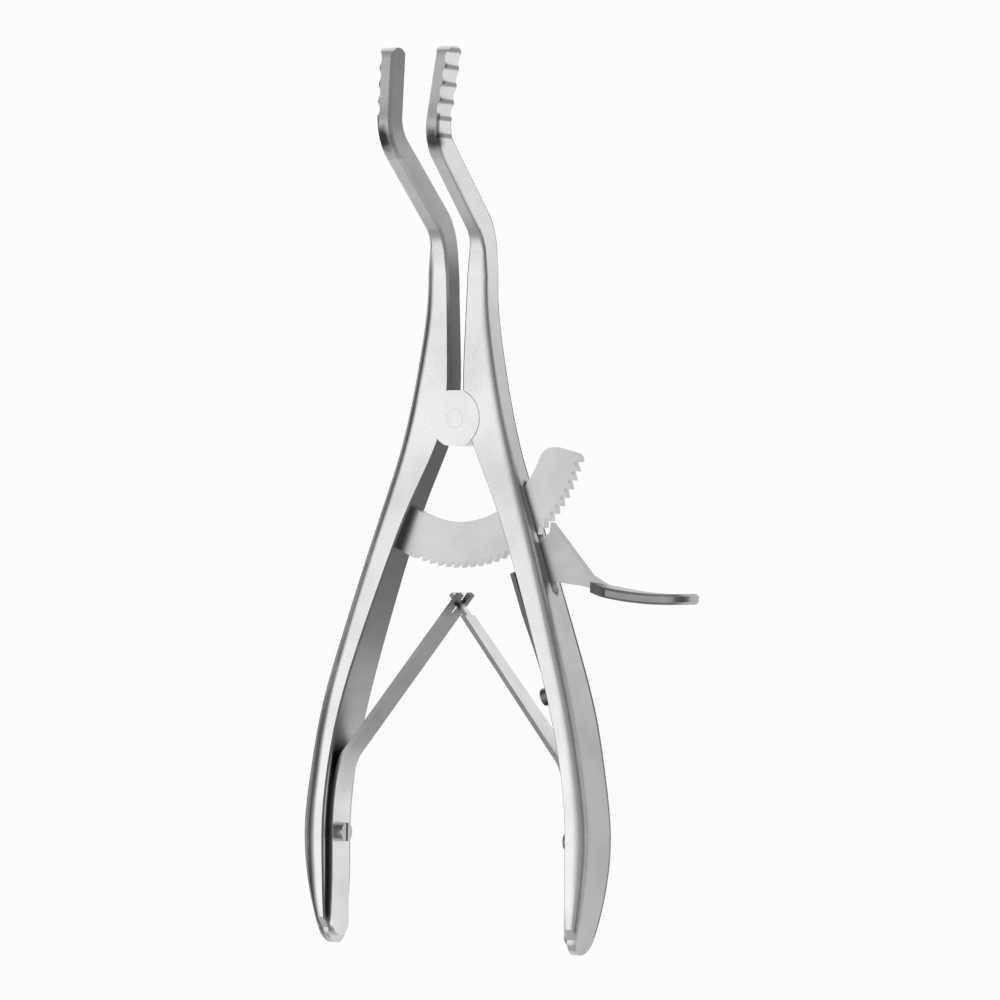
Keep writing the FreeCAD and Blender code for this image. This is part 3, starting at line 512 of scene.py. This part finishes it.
def makeSteel(name, f, arm=None, alongShade=None, edgeShade=None, acrossShade=None):
    material = bpy.data.materials.new(name)
    material.use_nodes = True
    tree = material.node_tree
    shader = tree.nodes["Principled BSDF"]
    shader.inputs["Metallic"].default_value = 1
    grain = groupNode(tree, satinGrain, {"Roughness": f["roughness"], "Roughness Spread": f["spread"]})
    patches = ease(tree, grain["Clouds"], 0.42, 0.72, 0.0, 0.6)
    tint = addNode(tree, "Mix", {"Factor": patches, "A": f["color"] + (1,), "B": f["dark"] + (1,)}, data_type="RGBA")
    tone = addNode(tree, "MapRange", {"Value": grain["Speckle"], "From Min": 0.25, "From Max": 0.75,
                                      "To Min": 1 - f["speckle"], "To Max": 1 + f["speckle"]}).outputs[0]
    height = maths(tree, "MULTIPLY_ADD", grain["Lines"], 0.5, grain["Speckle"])
    height = times(tree, height, f["grain"] * grainHeight)
    if arm:
        side = {"Side": arm["side"]}
        edges = groupNode(tree, paintedEdgeShade, {**side, "Outer End": arm["outerEnd"]})
        # painted shade: dark lines along the outer, inner and rear edges
        for edge in ("Outer", "Inner", "Rear"):
            tone = dimBy(tree, tone, edges[edge], arm[edge.lower() + "Edge"])
        # painted shade by face direction, painted shadow beside the leaf feet and painted shade on the groove ridges
        tone = times(tree, tone, groupNode(tree, paintedSideShade, side)["Tone"], groupNode(tree, paintedGrooveShade, side)["Tone"])
        # painted shade: dark spots at the jaws' bends and the slot's ends
        for place, squeeze, radius, strength in arm["shadeSpots"]:
            found = groupNode(tree, shadeSpot, {"Place": tuple(c * mm for c in place), "Squeeze": squeeze,
                                             "Radius": radius * mm})["Smudge"]
            tone = dimBy(tree, tone, found, strength)
        # the crown's height is a bump; its dark line is painted reflection
        crown = groupNode(tree, armCrown, {**side, "Crown": arm["crown"]})
        height = maths(tree, "ADD", height, crown["Height"])
        tone = dimBy(tree, tone, crown["Line"], arm["line"])
    place, facing = placeAndFacing(tree)
    # painted shade on the leaves, the rack and the thumb tab, by the given ramps
    if alongShade:
        tone = times(tree, tone, shadeRamp(tree, place["Y"], alongShade))
    if acrossShade:
        tone = times(tree, tone, shadeRamp(tree, place["X"], acrossShade))
    if edgeShade:
        axis, stops = edgeShade
        lost = oneLess(tree, shadeRamp(tree, place[axis], stops))
        tone = dimBy(tree, tone, times(tree, ease(tree, facing["Z"], 0.5, 0.8), lost), 1.0)
    shaded = addNode(tree, "Mix", {"Factor": 1.0, "A": tint.outputs["Result"], "B": tone}, data_type="RGBA",
                     blend_type="MULTIPLY")
    relief = addNode(tree, "Bump", {"Height": height, "Strength": 1.0, "Distance": 1.0})
    tree.links.new(shaded.outputs["Result"], shader.inputs["Base Color"])
    tree.links.new(grain["Roughness"], shader.inputs["Roughness"])
    tree.links.new(relief.outputs[0], shader.inputs["Normal"])
    return material


armSteel = {name: makeSteel(name + "Steel", steels["armSteel"], arm) for name, arm in arms.items()}
plainNames = ("armSteel", "pawlSteel", "screwSteel", "pawlScrewSteel")
plainSteel = {name: makeSteel(name, steels[name]) for name in plainNames}
leftLeafShadedSteel = makeSteel("leftLeafShadedSteel", steels["leafSteel"], alongShade=leafShade)
rightLeafShadedSteel = makeSteel("rightLeafShadedSteel", steels["leafSteel"], edgeShade=("Y", leafEdgeShade))
rackSteel = makeSteel("rackBlank", steels["rackSteel"], acrossShade=rackShade)
thumbSteel = makeSteel("thumbSteel", steels["leverSteel"], edgeShade=("X", tabEdgeShade))

finishOf = {
    "left_arm": armSteel["left_arm"], "right_arm": armSteel["right_arm"],
    "pivot_pin": plainSteel["armSteel"], "rack_pin": armSteel["left_arm"], "lever_pin": armSteel["right_arm"],
    "lever": thumbSteel, "rack": rackSteel,
    "pawl_spring": plainSteel["pawlSteel"], "left_leaf_spring": leftLeafShadedSteel,
    "right_leaf_spring": rightLeafShadedSteel, "pawl_spring_screw": plainSteel["pawlScrewSteel"],
    "left_spring_screw": plainSteel["screwSteel"], "right_spring_screw": plainSteel["pawlScrewSteel"],
}

for nodeName, finish in finishOf.items():
    piece = nodes[nodeName]
    piece.data.materials.clear()
    piece.data.materials.append(finish)
print("steel finished")


def copyOf(nodeName, newName):
    piece = nodes[nodeName].copy()
    piece.data = nodes[nodeName].data.copy()
    piece.name = newName
    piece.parent = None
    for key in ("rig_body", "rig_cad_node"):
        if key in piece:
            del piece[key]
    bpy.context.scene.collection.objects.link(piece)
    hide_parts(nodeName)
    return piece


# the leaves' screws: cheese heads, lower than in the CAD

leafScrew = {"seatX": 29.2 * mm, "headShare": 0.72}

for screwName, arm in (("left_spring_screw", "left_arm"), ("right_spring_screw", "right_arm")):
    screw = copyOf(screwName, screwName + "_low")
    for vertex in screw.data.vertices:
        proud = leafScrew["seatX"] - abs(vertex.co.x)
        if proud > 0:
            vertex.co.x = math.copysign(leafScrew["seatX"] - proud * leafScrew["headShare"], vertex.co.x)
    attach(screw, arm)
print("screws set")


# springs: each is copied in place of its CAD node and its transform baked; the table lists the two bodies that it
# presses apart and a start and end in mm, which are not used

springBends = {
    "right_leaf_spring": {"bodies": ("right_arm", "right_spring"), "start": (28.5, -80, 2.6), "end": (26.5, -68, 2.6)},
    "left_leaf_spring": {"bodies": ("left_arm", "left_spring"), "start": (-28.5, -80, 2.6), "end": (-26.5, -68, 2.6)},
    "pawl_spring": {"bodies": ("right_arm", "lever"), "start": (19.2, -40, 2.6), "end": (17.3, -32.6, 2.6)},
}

for springName, bend in springBends.items():
    spring = copyOf(springName, springName + "_bent")
    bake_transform(spring)
